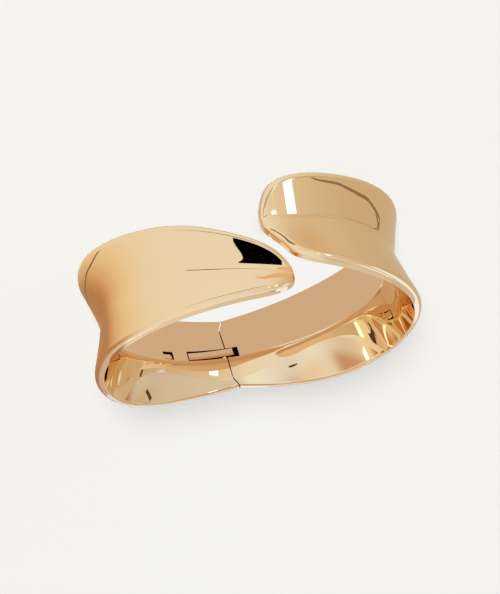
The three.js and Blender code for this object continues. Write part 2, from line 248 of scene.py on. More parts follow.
# On the floor, seen only in the metal: a warm oval under the hollow, and a warm patch before the paddle
# that fades out all round. Both are painted reflections of the floor's shade and of the gold's warm bounced
# light.
INSIDE_PAINTED_SHADE = {"centre": (-0.3, 1.0, 0.3), "half": (32.6, 25.2), "colour": (0.672, 0.522, 0.422)}
PADDLE_PAINTED_SHADE = {"centre": (-20.0, -34.5, 0.3), "size": (36, 21), "colour": (0.70, 0.52, 0.33)}
# The screen stands over the rims, and changes from its low colours to its high ones between two heights.
SCREEN = {"centre": (-0.3, 0.5), "half": (34.5, 26.5), "bottom": 27.6, "top": 44.0, "change": (31.0, 36.0)}
OVAL_CORNERS = {"inside": 96, "screen": 180}
BALL_SEGMENTS = (96, 48)

# The tent and the backdrop, in metres, and the shares of the tent's radius between which it changes.
TENT_RADIUS = 2.0
TENT_CHANGE = (0.1, 0.75)
TENT_FLOOR_LEVEL = 0.1
BACKDROP_RADIUS = 2.5
FLOOR_REACH = 3.0

# The lit paper's colour as it comes out, which the backdrop and the painted light share, and the oval that
# the painted light fills: a glowing patch, seen only by the camera, over the bangle's shadow on the floor
# inside the band.
PAPER_LIT = 0xF5F4F0
PAINTED_LIT_PAPER = {"centre": (-9, 17, 0.02), "half": (28, 21), "fades": (0.8, 1.0)}

# The lamps, by azimuth and elevation, and how wide the key light spreads, in degrees.
FILL_FROM = (0.0, 90.0)
KEY_FROM = (19.0, 23.8)
KEY_SPREAD = 9.0
GLOSSY_BOUNCES = 12  # enough for light that runs round the inside of the band

# Where the camera aims, in millimetres from the middle of the part, and the range it sees, in metres.
AIM = (-0.39, 0.70, -0.86)
CLIP = (0.05, 20.0)


def smoothstep(x):
    x = np.clip(x, 0.0, 1.0)
    return x * x * (3.0 - 2.0 * x)


def column(rows, columns, name):
    return np.array([row[columns.index(name)] for row in rows], float)


def spline(knots, values):
    """A natural cubic spline through (knots, values), as a function of arrays."""
    width = np.diff(knots)
    slope = np.diff(values) / width
    last = len(knots) - 1
    system = np.eye(last + 1)
    right = np.zeros(last + 1)
    for i in range(1, last):
        system[i, i - 1 : i + 2] = width[i - 1], 2.0 * (width[i - 1] + width[i]), width[i]
        right[i] = 6.0 * (slope[i] - slope[i - 1])
    bend = np.linalg.solve(system, right)

    def at(x):
        i = np.clip(np.searchsorted(knots, x) - 1, 0, last - 1)
        b = (x - knots[i]) / width[i]
        a = 1.0 - b
        curve = (a**3 - a) * bend[i] + (b**3 - b) * bend[i + 1]
        return a * values[i] + b * values[i + 1] + curve * width[i] ** 2 / 6.0

    return at


WAIST_TURNS = column(WAIST, WAIST_COLUMNS, "turn")
waist_height = spline(WAIST_TURNS, column(WAIST, WAIST_COLUMNS, "height"))
waist_softness = spline(WAIST_TURNS, column(WAIST, WAIST_COLUMNS, "softness"))


def unit(vectors):
    return vectors / np.linalg.norm(vectors, axis=-1, keepdims=True)


class Band:
    """The band's surfaces, in the bangle frame, for the sizes that are set."""

    def __init__(self, given):
        self.half_width = given.half_width / MM
        self.half_depth = given.half_depth / MM
        self.wall = given.wall / MM
        self.lip = given.lip_radius / MM
        self.edge = given.edge_radius / MM

    def arc_rate(self, turn):
        """Millimetres of arc for one degree of turn, on the inside of the waist."""
        t = np.radians(turn)
        return np.hypot(self.half_width * np.cos(t), self.half_depth * np.sin(t)) * math.radians(1.0)

    def turn_at_arc(self, arc):
        """The turn that lies an arc length away from the hinge."""
        turn = 0.0
        for _ in range(ARC_STEPS):
            turn += arc / ARC_STEPS / self.arc_rate(turn)
        return float(turn)

    def oval(self, turn):
        """The oval's point at a turn, and its outward direction, both level."""
        t = np.radians(turn)
        point = np.stack([self.half_width * np.sin(t), self.half_depth * np.cos(t)], -1)
        outward = unit(np.stack([self.half_depth * np.sin(t), self.half_width * np.cos(t)], -1))
        return point, outward

    def flare(self, turn, height):
        """How far the wall has leant out at a height, and its slope there."""
        rise = height - waist_height(turn)
        near = rise > 0.0
        leaf = np.where(near, LEAN["leaf near"], LEAN["leaf far"])
        paddle = np.where(near, LEAN["paddle near"], LEAN["paddle far"])
        share = smoothstep(np.abs(turn) / LEAN_REACH)
        slope = LEAN_AT_HINGE + (np.where(turn > 0.0, leaf, paddle) - LEAN_AT_HINGE) * share
        softness = waist_softness(turn)
        reach = np.hypot(softness, slope * rise)
        return reach - softness, slope * slope * rise / reach

    def point(self, turn, height, depth):
        """A point of the wall, at a depth under the outer surface."""
        place, outward = self.oval(turn)
        out, slope = self.flare(turn, height)
        shorten = 1.0 / np.hypot(1.0, slope)
        level = place + outward * (self.wall + out - depth * shorten)[..., None]
        return np.concatenate([level, (height + depth * shorten * slope)[..., None]], -1)

    def normal(self, turn, height):
        """The outward direction of the wall."""
        no_depth = np.zeros_like(turn)
        along = self.point(turn + EPSILON, height, no_depth) - self.point(turn - EPSILON, height, no_depth)
        up = self.point(turn, height + EPSILON, no_depth) - self.point(turn, height - EPSILON, no_depth)
        return unit(np.cross(up, along))


class Outline:
    """A half's outline as a curve in (turn, height), with its inward direction in millimetres."""

    def __init__(self, band, rows, tip):
        turns = column(rows, OUTLINE_COLUMNS, "turn")
        heights = column(rows, OUTLINE_COLUMNS, "height")
        steps = np.hypot(np.diff(turns) * DEGREE_MM, np.diff(heights))
        knots = np.concatenate([[0.0], np.cumsum(steps)])
        self.band = band
        self.turn_at = spline(knots, turns)
        self.height_at = spline(knots, heights)
        self.tip = knots[tip]
        self.end = knots[-1]
        self.side = math.copysign(1.0, turns[tip])

    def inset(self, s, depth_in):
        """The place at an inset from the outline."""
        turn = self.turn_at(s)
        rate = self.band.arc_rate(turn)
        along = (self.turn_at(s + EPSILON) - self.turn_at(s - EPSILON)) * rate
        up = self.height_at(s + EPSILON) - self.height_at(s - EPSILON)
        length = np.hypot(along, up) * self.side
        return turn + up / length * depth_in / rate, self.height_at(s) - along / length * depth_in


def rim_section(band, outline, s):
    """The rim from the outer surface to the inner one at each s, as arrays of points and directions."""
    pairs = []
    for k in range(LIP_STEPS + 1):
        angle = k / LIP_STEPS * math.pi / 2.0
        sin, cos = math.sin(angle), math.cos(angle)
        pairs.append((band.lip * (1.0 - sin), band.lip * (1.0 - cos), sin, cos))
    for k in range(EDGE_STEPS + 1):
        angle = k / EDGE_STEPS * math.pi / 2.0
        sin, cos = math.sin(angle), math.cos(angle)
        pairs.append((band.edge * (1.0 - cos), band.wall - band.edge * (1.0 - sin), cos, -sin))
    points, normals = [], []
    for inset, depth, edgewise, outward in pairs:
        turn, height = outline.inset(s, inset)
        points.append(band.point(turn, height, np.full_like(turn, depth)))
        ahead = band.point(*outline.inset(s, inset + EPSILON), np.zeros_like(turn))
        behind = band.point(*outline.inset(s, inset - EPSILON), np.zeros_like(turn))
        wall_normal = band.normal(turn, height)
        normals.append(unit(-edgewise * unit(ahead - behind) + outward * wall_normal))
    return points, normals


def inner_direction(turn, height, outward):
    """The inner face's direction, turned as the buffing leaves it."""
    rise = height - waist_height(turn)
    turned = smoothstep((rise - INNER_TURN["from"]) / (INNER_TURN["to"] - INNER_TURN["from"]))
    away = (np.abs(turn) - INNER_TURN["full"]) / (INNER_TURN["none"] - INNER_TURN["full"])
    lift = INNER_TURN["slope"] * turned * (1.0 - smoothstep(away))
    return unit(np.array([0.0, 0.0, 1.0]) * lift[..., None] - outward)


def wall_section(band, outline, near, far, inset, depth):
    """The wall between the two rims, from the near one to the far one, closest together at the waist."""
    from_turn, from_height = outline.inset(near, inset)
    to_turn, to_height = outline.inset(far, inset)

    def place(share):
        return from_turn + (to_turn - from_turn) * share, from_height + (to_height - from_height) * share

    low, high = np.zeros_like(near), np.ones_like(near)
    for _ in range(HALVINGS):
        middle = (low + high) / 2.0
        turn, height = place(middle)
        above = height > waist_height(turn)
        low, high = np.where(above, middle, low), np.where(above, high, middle)
    waist = np.clip(low, *WAIST_SHARES)
    shares = [waist * (1.0 - (1.0 - k / WALL_STEPS) ** WAIST_CROWDING) for k in range(1, WALL_STEPS + 1)]
    shares += [waist + (1.0 - waist) * (k / WALL_STEPS) ** WAIST_CROWDING for k in range(1, WALL_STEPS)]
    points, normals = [], []
    for share in shares:
        turn, height = place(share)
        points.append(band.point(turn, height, np.full_like(turn, depth)))
        outward = band.normal(turn, height)
        normals.append(outward if depth == 0.0 else inner_direction(turn, height, outward))
    return points, normals


def half_surface(band, rows, tip):
    """Loops round the wall's section from the hinge to the tip: points and directions of [rib, place]."""
    outline = Outline(band, rows, tip)
    rib = np.linspace(0.0, 1.0, RIBS + 1)
    share = rib + (np.sin(rib * math.pi / 2.0) - rib) * TIP_CROWDING
    near = outline.tip * share
    far = outline.end + (outline.tip - outline.end) * share
    near_points, near_normals = rim_section(band, outline, near)
    far_points, far_normals = rim_section(band, outline, far)
    outer_points, outer_normals = wall_section(band, outline, near, far, band.lip, 0.0)
    inner_points, inner_normals = wall_section(band, outline, near, far, band.edge, band.wall)
    points = near_points[::-1] + outer_points + far_points + inner_points[::-1]
    normals = near_normals[::-1] + outer_normals + far_normals + inner_normals[::-1]
    return np.stack(points, 1), np.stack(normals, 1)


def new_object(name, data):
    piece = bpy.data.objects.new(name, data)
    bpy.context.scene.collection.objects.link(piece)
    return piece


def ring_quads(loops, count):
    """The faces between closed loops of points that are numbered loop by loop, as corner numbers."""
    grid = np.arange(loops * count).reshape(loops, count)
    following = np.roll(grid, -1, axis=1)
    return np.stack([grid[:-1], following[:-1], following[1:], grid[1:]], -1).reshape(-1, 4)


def loft(name, points):
    """A closed solid through loops of points, indexed [loop, place], with a cap at each end."""
    loops, count = points.shape[:2]
    first_cap = list(range(count))[::-1]
    last_cap = list(range((loops - 1) * count, loops * count))
    faces = ring_quads(loops, count).tolist() + [first_cap, last_cap]
    mesh = bpy.data.meshes.new(name)
    mesh.from_pydata(points.reshape(-1, 3).tolist(), [], faces)
    build = bmesh.new()
    build.from_mesh(mesh)
    bmesh.ops.remove_doubles(build, verts=build.verts, dist=MERGE_DISTANCE)
    bmesh.ops.dissolve_degenerate(build, edges=build.edges, dist=SLIVER_LENGTH)
    bmesh.ops.recalc_face_normals(build, faces=build.faces)
    build.to_mesh(mesh)
    build.free()
    return new_object(name, mesh)


def arc_block(band, name, stations):
    """A block that follows the inside of the band. Each station is (along, inner, outer, bottom, top)."""
    loops = []
    for along, inner, outer, bottom, top in stations:
        place, outward = band.oval(np.array(band.turn_at_arc(along)))
        corners = ((inner, bottom), (outer, bottom), (outer, top), (inner, top))
        loops.append([[*(place + outward * level), height] for level, height in corners])
    return loft(name, np.array(loops))


def plain_block(band, name, block):
    stations = []
    for along in np.linspace(block["start"], block["end"], ARC_STEPS):
        stations.append((along, block["inner"], block["outer"], block["bottom"], block["top"]))
    return arc_block(band, name, stations)


def tongue_block(band, name):
    """A plate with a rounded end round the pin, set at a slight tilt."""
    stations = []
    nose = PIN["along"] - TONGUE["start"]
    for k in range(ARC_STEPS + 1):
        along = TONGUE["start"] + (TONGUE["end"] - TONGUE["start"]) * (k / ARC_STEPS) ** 2
        from_pin = (along - PIN["along"]) / nose
        knuckle = KNUCKLE * math.sqrt(max(0.0, 1.0 - from_pin**2))
        outer = max(PIN["level"] + knuckle, TONGUE_BACK if from_pin > 0.0 else PIN["level"])
        drop = math.tan(math.radians(TONGUE["tilt"])) * (along - PIN["along"])
        stations.append((along, -TONGUE["proud"], outer, TONGUE["bottom"] + drop, TONGUE["top"] + drop))
    return arc_block(band, name, stations)


def wire(band, name, radius, half_length):
    """A round wire on the pin's axis."""
    angles = np.linspace(0.0, 2.0 * math.pi, PIN_SIDES, endpoint=False)
    x = PIN["along"] + radius * np.cos(angles)
    y = band.half_depth + PIN["level"] + radius * np.sin(angles)
    loops = [np.stack([x, y, np.full_like(x, z)], -1) for z in (-half_length, half_length)]
    return loft(name, np.array(loops))


def seam_cutter(band, side):
    """What is cut away past the seam. The faces lean apart from the pin's level outwards, half of the
    swing each, so that they meet when the bangle is fully open."""
    pin_y = band.half_depth + PIN["level"]
    spread = math.tan(math.radians(HINGE["range_deg"][1] / 2.0 + SEAM["ease"]))
    loops = []
    for height in (-FAR_OFF, -SEAM["end"], -SEAM["straight"], SEAM["straight"], SEAM["end"], FAR_OFF):
        line = SEAM["along"] if abs(height) < SEAM["end"] else 0.0
        face = line + side * SEAM["gap"] / 2.0
        beyond = face + side * spread * CUT_REACH
        loops.append([
            (-side * FAR_OFF, pin_y - CUT_REACH, height),
            (face, pin_y - CUT_REACH, height),
            (face, pin_y, height),
            (beyond, pin_y + CUT_REACH, height),
            (-side * FAR_OFF, pin_y + CUT_REACH, height),
        ])
    return loft("cutter", np.array(loops))


def apply_modifiers(piece):
    graph = bpy.context.evaluated_depsgraph_get()
    mesh = bpy.data.meshes.new_from_object(piece.evaluated_get(graph))
    piece.modifiers.clear()
    piece.data = mesh


def cut(piece, cutters):
    """Cuts each cutter from the piece, and removes the cutters."""
    for cutter in cutters:
        knife = piece.modifiers.new("cut", "BOOLEAN")
        knife.operation = "DIFFERENCE"
        knife.solver = "EXACT"
        knife.object = cutter
    apply_modifiers(piece)
    for cutter in cutters:
        bpy.data.objects.remove(cutter)


def rest_matrix(band):
    """From the bangle frame, in millimetres, to the frame the bangle lies in, in metres."""
    tilt = Matrix.Rotation(math.radians(TILT_X), 3, "X") @ Matrix.Rotation(math.radians(TILT_Y), 3, "Y")
    pin = Vector((PIN["along"], band.half_depth + PIN["level"], 0.0))
    origin = Vector(HINGE["pos_m"]) / MM - tilt @ pin
    return Matrix.Scale(MM, 4) @ Matrix.Translation(origin) @ tilt.to_4x4()


def shade_from(piece, points, normals):
    """Gives the faces on the uncut surface its exact directions, and leaves the cut faces flat."""
    flat_points = points.reshape(-1, 3)
    flat_normals = normals.reshape(-1, 3)
    corners = ring_quads(*points.shape[:2])
    triangles = np.concatenate([corners[:, [0, 1, 2]], corners[:, [0, 2, 3]]])
    ends = flat_points[triangles]
    areas = np.linalg.norm(np.cross(ends[:, 1] - ends[:, 0], ends[:, 2] - ends[:, 0]), axis=1)
    triangles = triangles[areas > SLIVER_AREA]
    surface = BVHTree.FromPolygons(flat_points.tolist(), triangles.tolist(), all_triangles=True)
    mesh = piece.data
    smooth = np.zeros((len(mesh.vertices), 3))
    for vertex in mesh.vertices:
        near, _, index, distance = surface.find_nearest(vertex.co)
        if distance > SKIN_DISTANCE:
            continue
        first, second, third = triangles[index]
        side = flat_points[[second, third]] - flat_points[first]
        weights = np.linalg.lstsq(side.T, np.array(near) - flat_points[first], rcond=None)[0]
        mixed = flat_normals[first] * (1.0 - weights.sum())
        mixed += flat_normals[second] * weights[0] + flat_normals[third] * weights[1]
        smooth[vertex.index] = mixed / np.linalg.norm(mixed)
    directions = np.zeros((len(mesh.loops), 3))
    for face in mesh.polygons:
        flat = np.array(face.normal)
        on_skin = [smooth[mesh.loops[loop].vertex_index] for loop in face.loop_indices]
        is_cut = sum(along @ flat > SKIN_TURN for along in on_skin) * 2 < len(on_skin)
        face.material_index = 1 if is_cut else 0
        for loop, along in zip(face.loop_indices, on_skin):
            directions[loop] = along if along @ flat > SKIN_TURN else flat
    mesh.shade_smooth()
    mesh.normals_split_custom_set(directions.tolist())


def finish_piece(piece, band, name, body, node, slot, *materials):
    """Puts a piece where the frame says, gives it its finish and lets it ride on its body."""
    piece.data.transform(rest_matrix(band))
    piece.name = name
    piece.data.name = name
    for material in materials:
        piece.data.materials.append(material)
    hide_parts(node)
    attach(piece, body)
    piece.visible_diffuse = False


def linear(code):
    """An sRGB hex colour as linear RGBA."""
    parts = [(code >> shift & 255) / 255.0 for shift in (16, 8, 0)]
    return (*[p / 12.92 if p <= 0.04045 else ((p + 0.055) / 1.055) ** 2.4 for p in parts], 1.0)


def add(tree, kind, inputs=(), **settings):
    """Adds a node. inputs are pairs of an input and a value, an output socket or another node, which
    stands for its first output in use. settings are the node's own properties."""
    made = tree.nodes.new(kind)
    for name, value in settings.items():
        setattr(made, name, value)
    for key, value in inputs:
        if isinstance(value, bpy.types.Node):
            value = next(socket for socket in value.outputs if socket.enabled)
        if isinstance(value, bpy.types.NodeSocket):
            tree.links.new(value, made.inputs[key])
        else:
            made.inputs[key].default_value = value
    return made


def grain(kind):
    """The scale of a noise whose patches are as large as that grain."""
    return 1.0 / (GRAIN[kind] * MM)


def new_material(name):
    """An empty material, its tree, and the place on the piece that its patterns go by."""
    material = bpy.data.materials.get(name) or bpy.data.materials.new(name)
    material.use_nodes = True
    tree = material.node_tree
    tree.nodes.clear()
    return material, tree, add(tree, "ShaderNodeTexCoord").outputs["Object"]


def gold_plate():
    """Brass, cast, ground and buffed to a mirror, then plated with yellow gold. The eye sees the room in
    it, slightly bent where the buffing wheel dwelt, and a haze too thin to blur an edge."""
    given = bpy.context.scene.bangle_finish
    material, tree, place = new_material("buffed gold plate")
    tint = add(tree, "ShaderNodeTexNoise", [("Vector", place), ("Scale", grain("tint")), ("Detail", 2.0)])
    colour = add(tree, "ShaderNodeMix", [
        ("Factor", tint), ("A", (*given.gold, 1.0)), ("B", (*given.gold_thin, 1.0)),
    ], data_type="RGBA")
    haze = add(tree, "ShaderNodeTexNoise", [("Vector", place), ("Scale", grain("haze")), ("Detail", 4.0)])
    rough = add(tree, "ShaderNodeMapRange", [
        ("Value", haze), ("To Min", given.gold_roughness * HAZE_SPREAD[0]),
        ("To Max", given.gold_roughness * HAZE_SPREAD[1]),
    ])
    dwell = add(tree, "ShaderNodeTexNoise", [("Vector", place), ("Scale", grain("dwell")), ("Detail", 1.0)])
    bent = add(tree, "ShaderNodeBump", [
        ("Height", dwell), ("Distance", given.waviness), ("Strength", 1.0),
    ])
    shader = add(tree, "ShaderNodeBsdfPrincipled", [
        ("Base Color", colour), ("Metallic", 1.0), ("Roughness", rough), ("Normal", bent),
    ])
    add(tree, "ShaderNodeOutputMaterial", [("Surface", shader)])
    return material


def cut_brass_painted_shade():
    """The cut faces of the seam, the slot, the window and the bore: rough brass, mottled at random between
    two dark browns. The dark brown is painted shade, so these narrow gaps stay dark between the bright
    faces."""
    material, tree, place = new_material("cut brass, painted shade")
    shade_mottle = add(tree, "ShaderNodeTexNoise", [("Vector", place), ("Scale", grain("shade_mottle"))])
    colour = add(tree, "ShaderNodeMix", [
        ("Factor", shade_mottle), ("A", linear(0x3B2416)), ("B", linear(0x6A4326)),
    ], data_type="RGBA")
    shader = add(tree, "ShaderNodeBsdfPrincipled", [
        ("Base Color", colour), ("Metallic", 1.0), ("Roughness", 0.55),
    ])
    add(tree, "ShaderNodeOutputMaterial", [("Surface", shader)])
    return material


def steel_wire():
    """Stainless spring wire, drawn through a die, which leaves fine lines along it and a soft sheen."""
    material, tree, place = new_material("drawn steel wire")
    stretched = add(tree, "ShaderNodeMapping", [("Vector", place), ("Scale", (1.0, 1.0, DRAWN_STRETCH))])
    lines = add(tree, "ShaderNodeTexNoise", [("Vector", stretched), ("Scale", grain("drawn line"))])
    rough = add(tree, "ShaderNodeMapRange", [
        ("Value", lines), ("To Min", STEEL_ROUGHNESS[0]), ("To Max", STEEL_ROUGHNESS[1]),
    ])
    shader = add(tree, "ShaderNodeBsdfPrincipled", [
        ("Base Color", linear(0xB9B6AE)), ("Metallic", 1.0), ("Roughness", rough),
    ])
    add(tree, "ShaderNodeOutputMaterial", [("Surface", shader)])
    return material


def floor_paper():
    """Seamless background paper, matt, with the faintest tooth."""
    given = bpy.context.scene.bangle_studio
    material, tree, place = new_material("background paper")
    tooth = add(tree, "ShaderNodeTexNoise", [
        ("Vector", place), ("Scale", grain("paper tooth")), ("Detail", 3.0),
    ])
    bump = add(tree, "ShaderNodeBump", [
        ("Height", tooth), ("Distance", TOOTH_HEIGHT * MM), ("Strength", 0.2),
    ])
    shader = add(tree, "ShaderNodeBsdfPrincipled", [
        ("Base Color", (*given.paper, 1.0)), ("Roughness", 0.9),
        ("Specular IOR Level", 0.1), ("Normal", bump),
    ])
    add(tree, "ShaderNodeOutputMaterial", [("Surface", shader)])
    return material


def length_property(name, description, default, low, high):
    """A length property, from values in millimetres."""
    limits = {"min": low * MM, "max": high * MM}
    return FloatProperty(name=name, description=description, default=default * MM, unit="LENGTH", **limits)


def colour_property(name, description, code):
    """A colour property, from an sRGB hex colour."""
    settings = {"subtype": "COLOR", "min": 0.0, "max": 1.0, "default": linear(code)[:3]}
    return FloatVectorProperty(name=name, description=description, **settings)


def angle_property(name, description, default):
    """An angle property, from degrees."""
    return FloatProperty(name=name, description=description, default=math.radians(default), subtype="ANGLE")


def number_property(name, description, default, highest, subtype="NONE"):
    """A plain number from nothing up to a highest value."""
    limits = {"min": 0.0, "max": highest}
    return FloatProperty(name=name, description=description, default=default, subtype=subtype, **limits)


class BangleSizes(bpy.types.PropertyGroup):
    """The sizes of the band."""

    half_width: length_property(
        "Half width", "Inside of the waist, from the middle to either side", 29.5, 25.0, 34.0)
    half_depth: length_property(
        "Half depth", "Inside of the waist, from the middle to the hinge", 22.5, 18.0, 28.0)
    wall: length_property("Wall", "Thickness of the band", 2.1, 1.6, 3.0)
    lip_radius: length_property("Lip radius", "Rounding of each rim's outer edge", 1.2, 0.4, 1.4)
    edge_radius: length_property("Inner edge radius", "Easing of each rim's inner edge", 0.12, 0.05, 0.3)


class BangleFinish(bpy.types.PropertyGroup):
    """The colours and polish of the metal."""

    gold: colour_property("Gold", "Colour of the gold plate", 0xF8E2BF)
    gold_thin: colour_property("Gold, thin", "Colour where the plate is a little thinner", 0xF6DEBA)
    gold_roughness: number_property("Haze", "Roughness of the buffed gold", 0.015, 0.4, "FACTOR")
    waviness: length_property("Waviness", "Height of the unevenness that buffing leaves", 0.012, 0.0, 0.1)


class BangleStudio(bpy.types.PropertyGroup):
    """The floor, the light and the camera."""

    paper: colour_property("Paper", "Colour of the floor", 0xF0EFEB)
    room: number_property("Room light", "Brightness of the white room all round", 0.25, 5.0)
    key: number_property("Key light", "Strength of the low soft light that casts the shadow", 2.07, 50.0)
    fill: number_property("Fill light", "Strength of the even light from above", 1.62, 50.0)
    azimuth: angle_property("Azimuth", "Where the camera stands, from the opening towards the leaf", 18.805)
    elevation: angle_property("Elevation", "How high the camera stands over the bangle", 28.474)
    roll: angle_property("Roll", "How far the camera is turned about its own view", 162.392)
    distance: length_property("Distance", "From the camera to the bangle", 900.0, 200.0, 5000.0)
    lens: FloatProperty(name="Lens", description="Focal length, in millimetres", default=267.13, min=1.0)


class BANGLE_OT_halves(bpy.types.Operator):
    """Make the leaf half and the paddle half"""

    bl_idname = "bangle.halves"
    bl_label = "Leaf and paddle halves"

    def execute(self, context):
        band = Band(context.scene.bangle_sizes)
        halves = (
            ("leaf", LEAF_OUTLINE, LEAF_TIP, 1.0),
            ("paddle", PADDLE_OUTLINE, PADDLE_TIP, -1.0),
        )
        for body, rows, tip, side in halves:
            points, normals = half_surface(band, rows, tip)
            half = loft(body, points)
            cutters = [seam_cutter(band, side), plain_block(band, "cutter", SLOT)]
            if body == "leaf":
                cutters.append(plain_block(band, "cutter", WINDOW))
            else:
                cutters.append(wire(band, "cutter", PIN["bore"], PIN["half_length"] + PIN["end_gap"]))
            cut(half, cutters)
            shade_from(half, points, normals)
            # The cut faces get the dark brass: painted shade for the seam, slot and window.
            finish = (gold_plate(), cut_brass_painted_shade())
            finish_piece(half, band, body + "_shell", body, body + "_half", "gold_plate", *finish)
        return {"FINISHED"}


def ease(piece, radius):
    """Rounds the piece's sharp edges a little and smooths it between them."""
    bevel = piece.modifiers.new("eased", "BEVEL")
    bevel.width = radius
    bevel.segments = 3
    bevel.limit_method = "ANGLE"
    bevel.angle_limit = math.radians(EASED_FROM)
    bevel.harden_normals = True
    apply_modifiers(piece)
    piece.data.shade_smooth()
    piece.data.set_sharp_from_angle(angle=math.radians(SHARP_FROM))


class BANGLE_OT_hinge(bpy.types.Operator):
    """Make the tongue, the pin and the spring's anchor"""

    bl_idname = "bangle.hinge"
    bl_label = "Hinge"

    def execute(self, context):
        band = Band(context.scene.bangle_sizes)
        tongue = tongue_block(band, "tongue")
        cut(tongue, [wire(band, "cutter", PIN["bore"], PIN["half_length"] + PIN["end_gap"])])
        ease(tongue, EASING["tongue"])
        finish_piece(tongue, band, "tongue_plate", "leaf", "hinge_tongue", "gold_plate", gold_plate())
        anchor = plain_block(band, "anchor", ANCHOR)
        ease(anchor, EASING["anchor"])
        finish_piece(anchor, band, "anchor_block", "leaf", "spring_anchor", "gold_plate", gold_plate())
        pin = wire(band, "pin", PIN["radius"], PIN["half_length"])
        ease(pin, EASING["pin"])
        finish_piece(pin, band, "pin_wire", "paddle", "hinge_pin", "steel_pin", steel_wire())
        return {"FINISHED"}


def room_world(strength):
    """An even white room."""
    world = bpy.data.worlds.new("white room")
    bpy.context.scene.world = world
    world.use_nodes = True
    tree = world.node_tree
    tree.nodes.clear()
    light = add(tree, "ShaderNodeBackground", [("Color", linear(0xFFFFFF)), ("Strength", strength)])
    add(tree, "ShaderNodeOutputWorld", [("Surface", light)])


def direction(azimuth, elevation):
    """A level azimuth and an elevation, in degrees, as a direction. Azimuth 0 is in front, 90 on +X."""
    a, e = math.radians(azimuth), math.radians(elevation)
    return Vector((math.sin(a) * math.cos(e), -math.cos(a) * math.cos(e), math.sin(e)))


def only_reflected(piece):
    """Leaves a piece of the studio to the metal's reflections: it lights and shades nothing else."""
    piece.visible_camera = False
    piece.visible_diffuse = False
    piece.visible_shadow = False


def only_seen(piece):
    """Leaves a piece of the studio to the camera: it lights, shades and mirrors nothing."""
    piece.visible_diffuse = False
    piece.visible_glossy = False
    piece.visible_shadow = False


def one_face(name, corners, material):
    """A single face between corners, in metres."""
    mesh = bpy.data.meshes.new(name)
    mesh.from_pydata(corners, [], [tuple(range(len(corners)))])
    mesh.materials.append(material)
    return new_object(name, mesh)


def sheet(name, half, material, level=0.0):
    """A level rectangle with that half size, in metres."""
    x, y = half
    return one_face(name, [(-x, -y, level), (x, -y, level), (x, y, level), (-x, y, level)], material)


def ball(name, radius, material):
    """A sphere round the bangle."""
    shape = bmesh.new()
    across, up = BALL_SEGMENTS
    bmesh.ops.create_uvsphere(shape, u_segments=across, v_segments=up, radius=radius)
    mesh = bpy.data.meshes.new(name)
    shape.to_mesh(mesh)
    shape.free()
    mesh.materials.append(material)
    return new_object(name, mesh)


def oval(half, count):
    """Places round an oval with that half size in millimetres, as level places in metres."""
    turns = [2.0 * math.pi * i / count for i in range(count)]
    return [(half[0] * math.cos(t) * MM, half[1] * math.sin(t) * MM) for t in turns]


def glow(name, colour, reach=None, soft=None):
    """Even light from a surface. With reach, it fades out over soft at the edges of that half size."""
    material, tree, place = new_material(name)
    surface = add(tree, "ShaderNodeEmission", [("Color", (*colour, 1.0))])
    if reach:
        parts = add(tree, "ShaderNodeSeparateXYZ", [("Vector", place)])
        shares = []
        for axis, half, fade in zip("XY", reach, soft):
            away = add(tree, "ShaderNodeMath", [(0, parts.outputs[axis])], operation="ABSOLUTE")
            share = add(tree, "ShaderNodeMapRange", [
                ("Value", away), ("From Min", half - fade), ("From Max", half),
                ("To Min", 1.0), ("To Max", 0.0),
            ], interpolation_type="SMOOTHSTEP")
            shares.append(share)
        both = add(tree, "ShaderNodeMath", [(0, shares[0]), (1, shares[1])], operation="MULTIPLY")
        clear = add(tree, "ShaderNodeBsdfTransparent")
        surface = add(tree, "ShaderNodeMixShader", [(0, both), (1, clear), (2, surface)])
    add(tree, "ShaderNodeOutputMaterial", [("Surface", surface)])
    return material


def card(name, place, facing, size, colour, soft):
    """A flat glowing card that only the metal sees, for a painted reflection. place and size are in
    millimetres, and soft is in shares of the half size.
    """
    half = [side / 2.0 * MM for side in size]
    piece = sheet(name, half, glow(name, colour, half, [h * s for h, s in zip(half, soft)]))
    turn = facing.to_track_quat("Z", "Y").to_matrix().to_4x4()
    piece.matrix_world = Matrix.Translation(Vector(place) * MM) @ turn
    only_reflected(piece)


def spanned(angles, distance):
    """How wide a card is that fills two angles, in degrees, from a distance."""
    return 2.0 * distance * math.tan(math.radians(abs(angles[1] - angles[0])) / 2.0)


def standing_card(name, seen_from, azimuths, elevations, distance, colour, soft):
    """A card that fills, from a place in millimetres, two azimuths and two elevations in degrees."""
    back = direction(sum(azimuths) / 2.0, sum(elevations) / 2.0)
    size = (spanned(azimuths, distance), spanned(elevations, distance))
    card(name, Vector(seen_from) + back * distance, -back, size, colour, soft)


def black_flag(name, seen_from, corners, distance):
    """A black card before the opening, with its corners' azimuths and elevations from a place, that only
    the metal sees: a painted dark reflection.
    """
    ahead = direction(0.0, 0.0)
    places = []
    for azimuth, elevation in corners:
        ray = direction(azimuth, elevation)
        places.append(tuple((Vector(seen_from) + ray * (distance / ray.dot(ahead))) * MM))
    only_reflected(one_face(name, places, glow(name, (0.0, 0.0, 0.0))))


def oval_card(name, centre, half, colour):
    """A flat glowing oval that lies on the floor, in millimetres, and that only the metal sees, for a
    painted reflection.
    """
    corners = [(x, y, 0.0) for x, y in oval(half, OVAL_CORNERS["inside"])]
    piece = one_face(name, corners, glow(name, colour))
    piece.location = Vector(centre) * MM
    only_reflected(piece)


